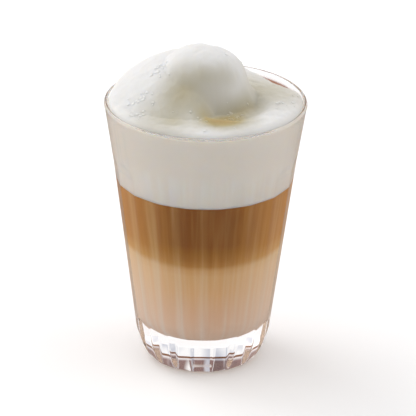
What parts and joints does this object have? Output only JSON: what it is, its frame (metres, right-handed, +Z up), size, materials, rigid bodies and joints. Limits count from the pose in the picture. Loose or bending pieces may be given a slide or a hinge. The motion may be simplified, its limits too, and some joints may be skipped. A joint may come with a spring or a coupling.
{
  "type": "latte macchiato in a glass",
  "caption": "Layered milk coffee in a clear, tapered, fluted tumbler: milky coffee below, brown coffee above it, and white milk foam mounded over the rim.",
  "frame": {"origin": "centre of the foot of the glass, in the plane that it stands on", "axes": "+Z up the glass's axis; -Y is the side that the picture shows, with the middle of a flat facing it"},
  "size_m": [0.086, 0.086, 0.1401],
  "materials": {
    "glass": "clear pressed and fire-polished soda-lime glass",
    "milk_coffee": "opaque beige milk coffee seen through the glass",
    "brown_coffee": "brown coffee with a golden lower edge, seen through the glass",
    "milk_foam": "fine matt milk foam with small bubbles"
  },
  "bodies": {
    "root": {"glass": "glass", "milk_layer": "milk_coffee", "coffee_layer": "brown_coffee", "milk_foam": "milk_foam"}
  },
  "joints": []
}
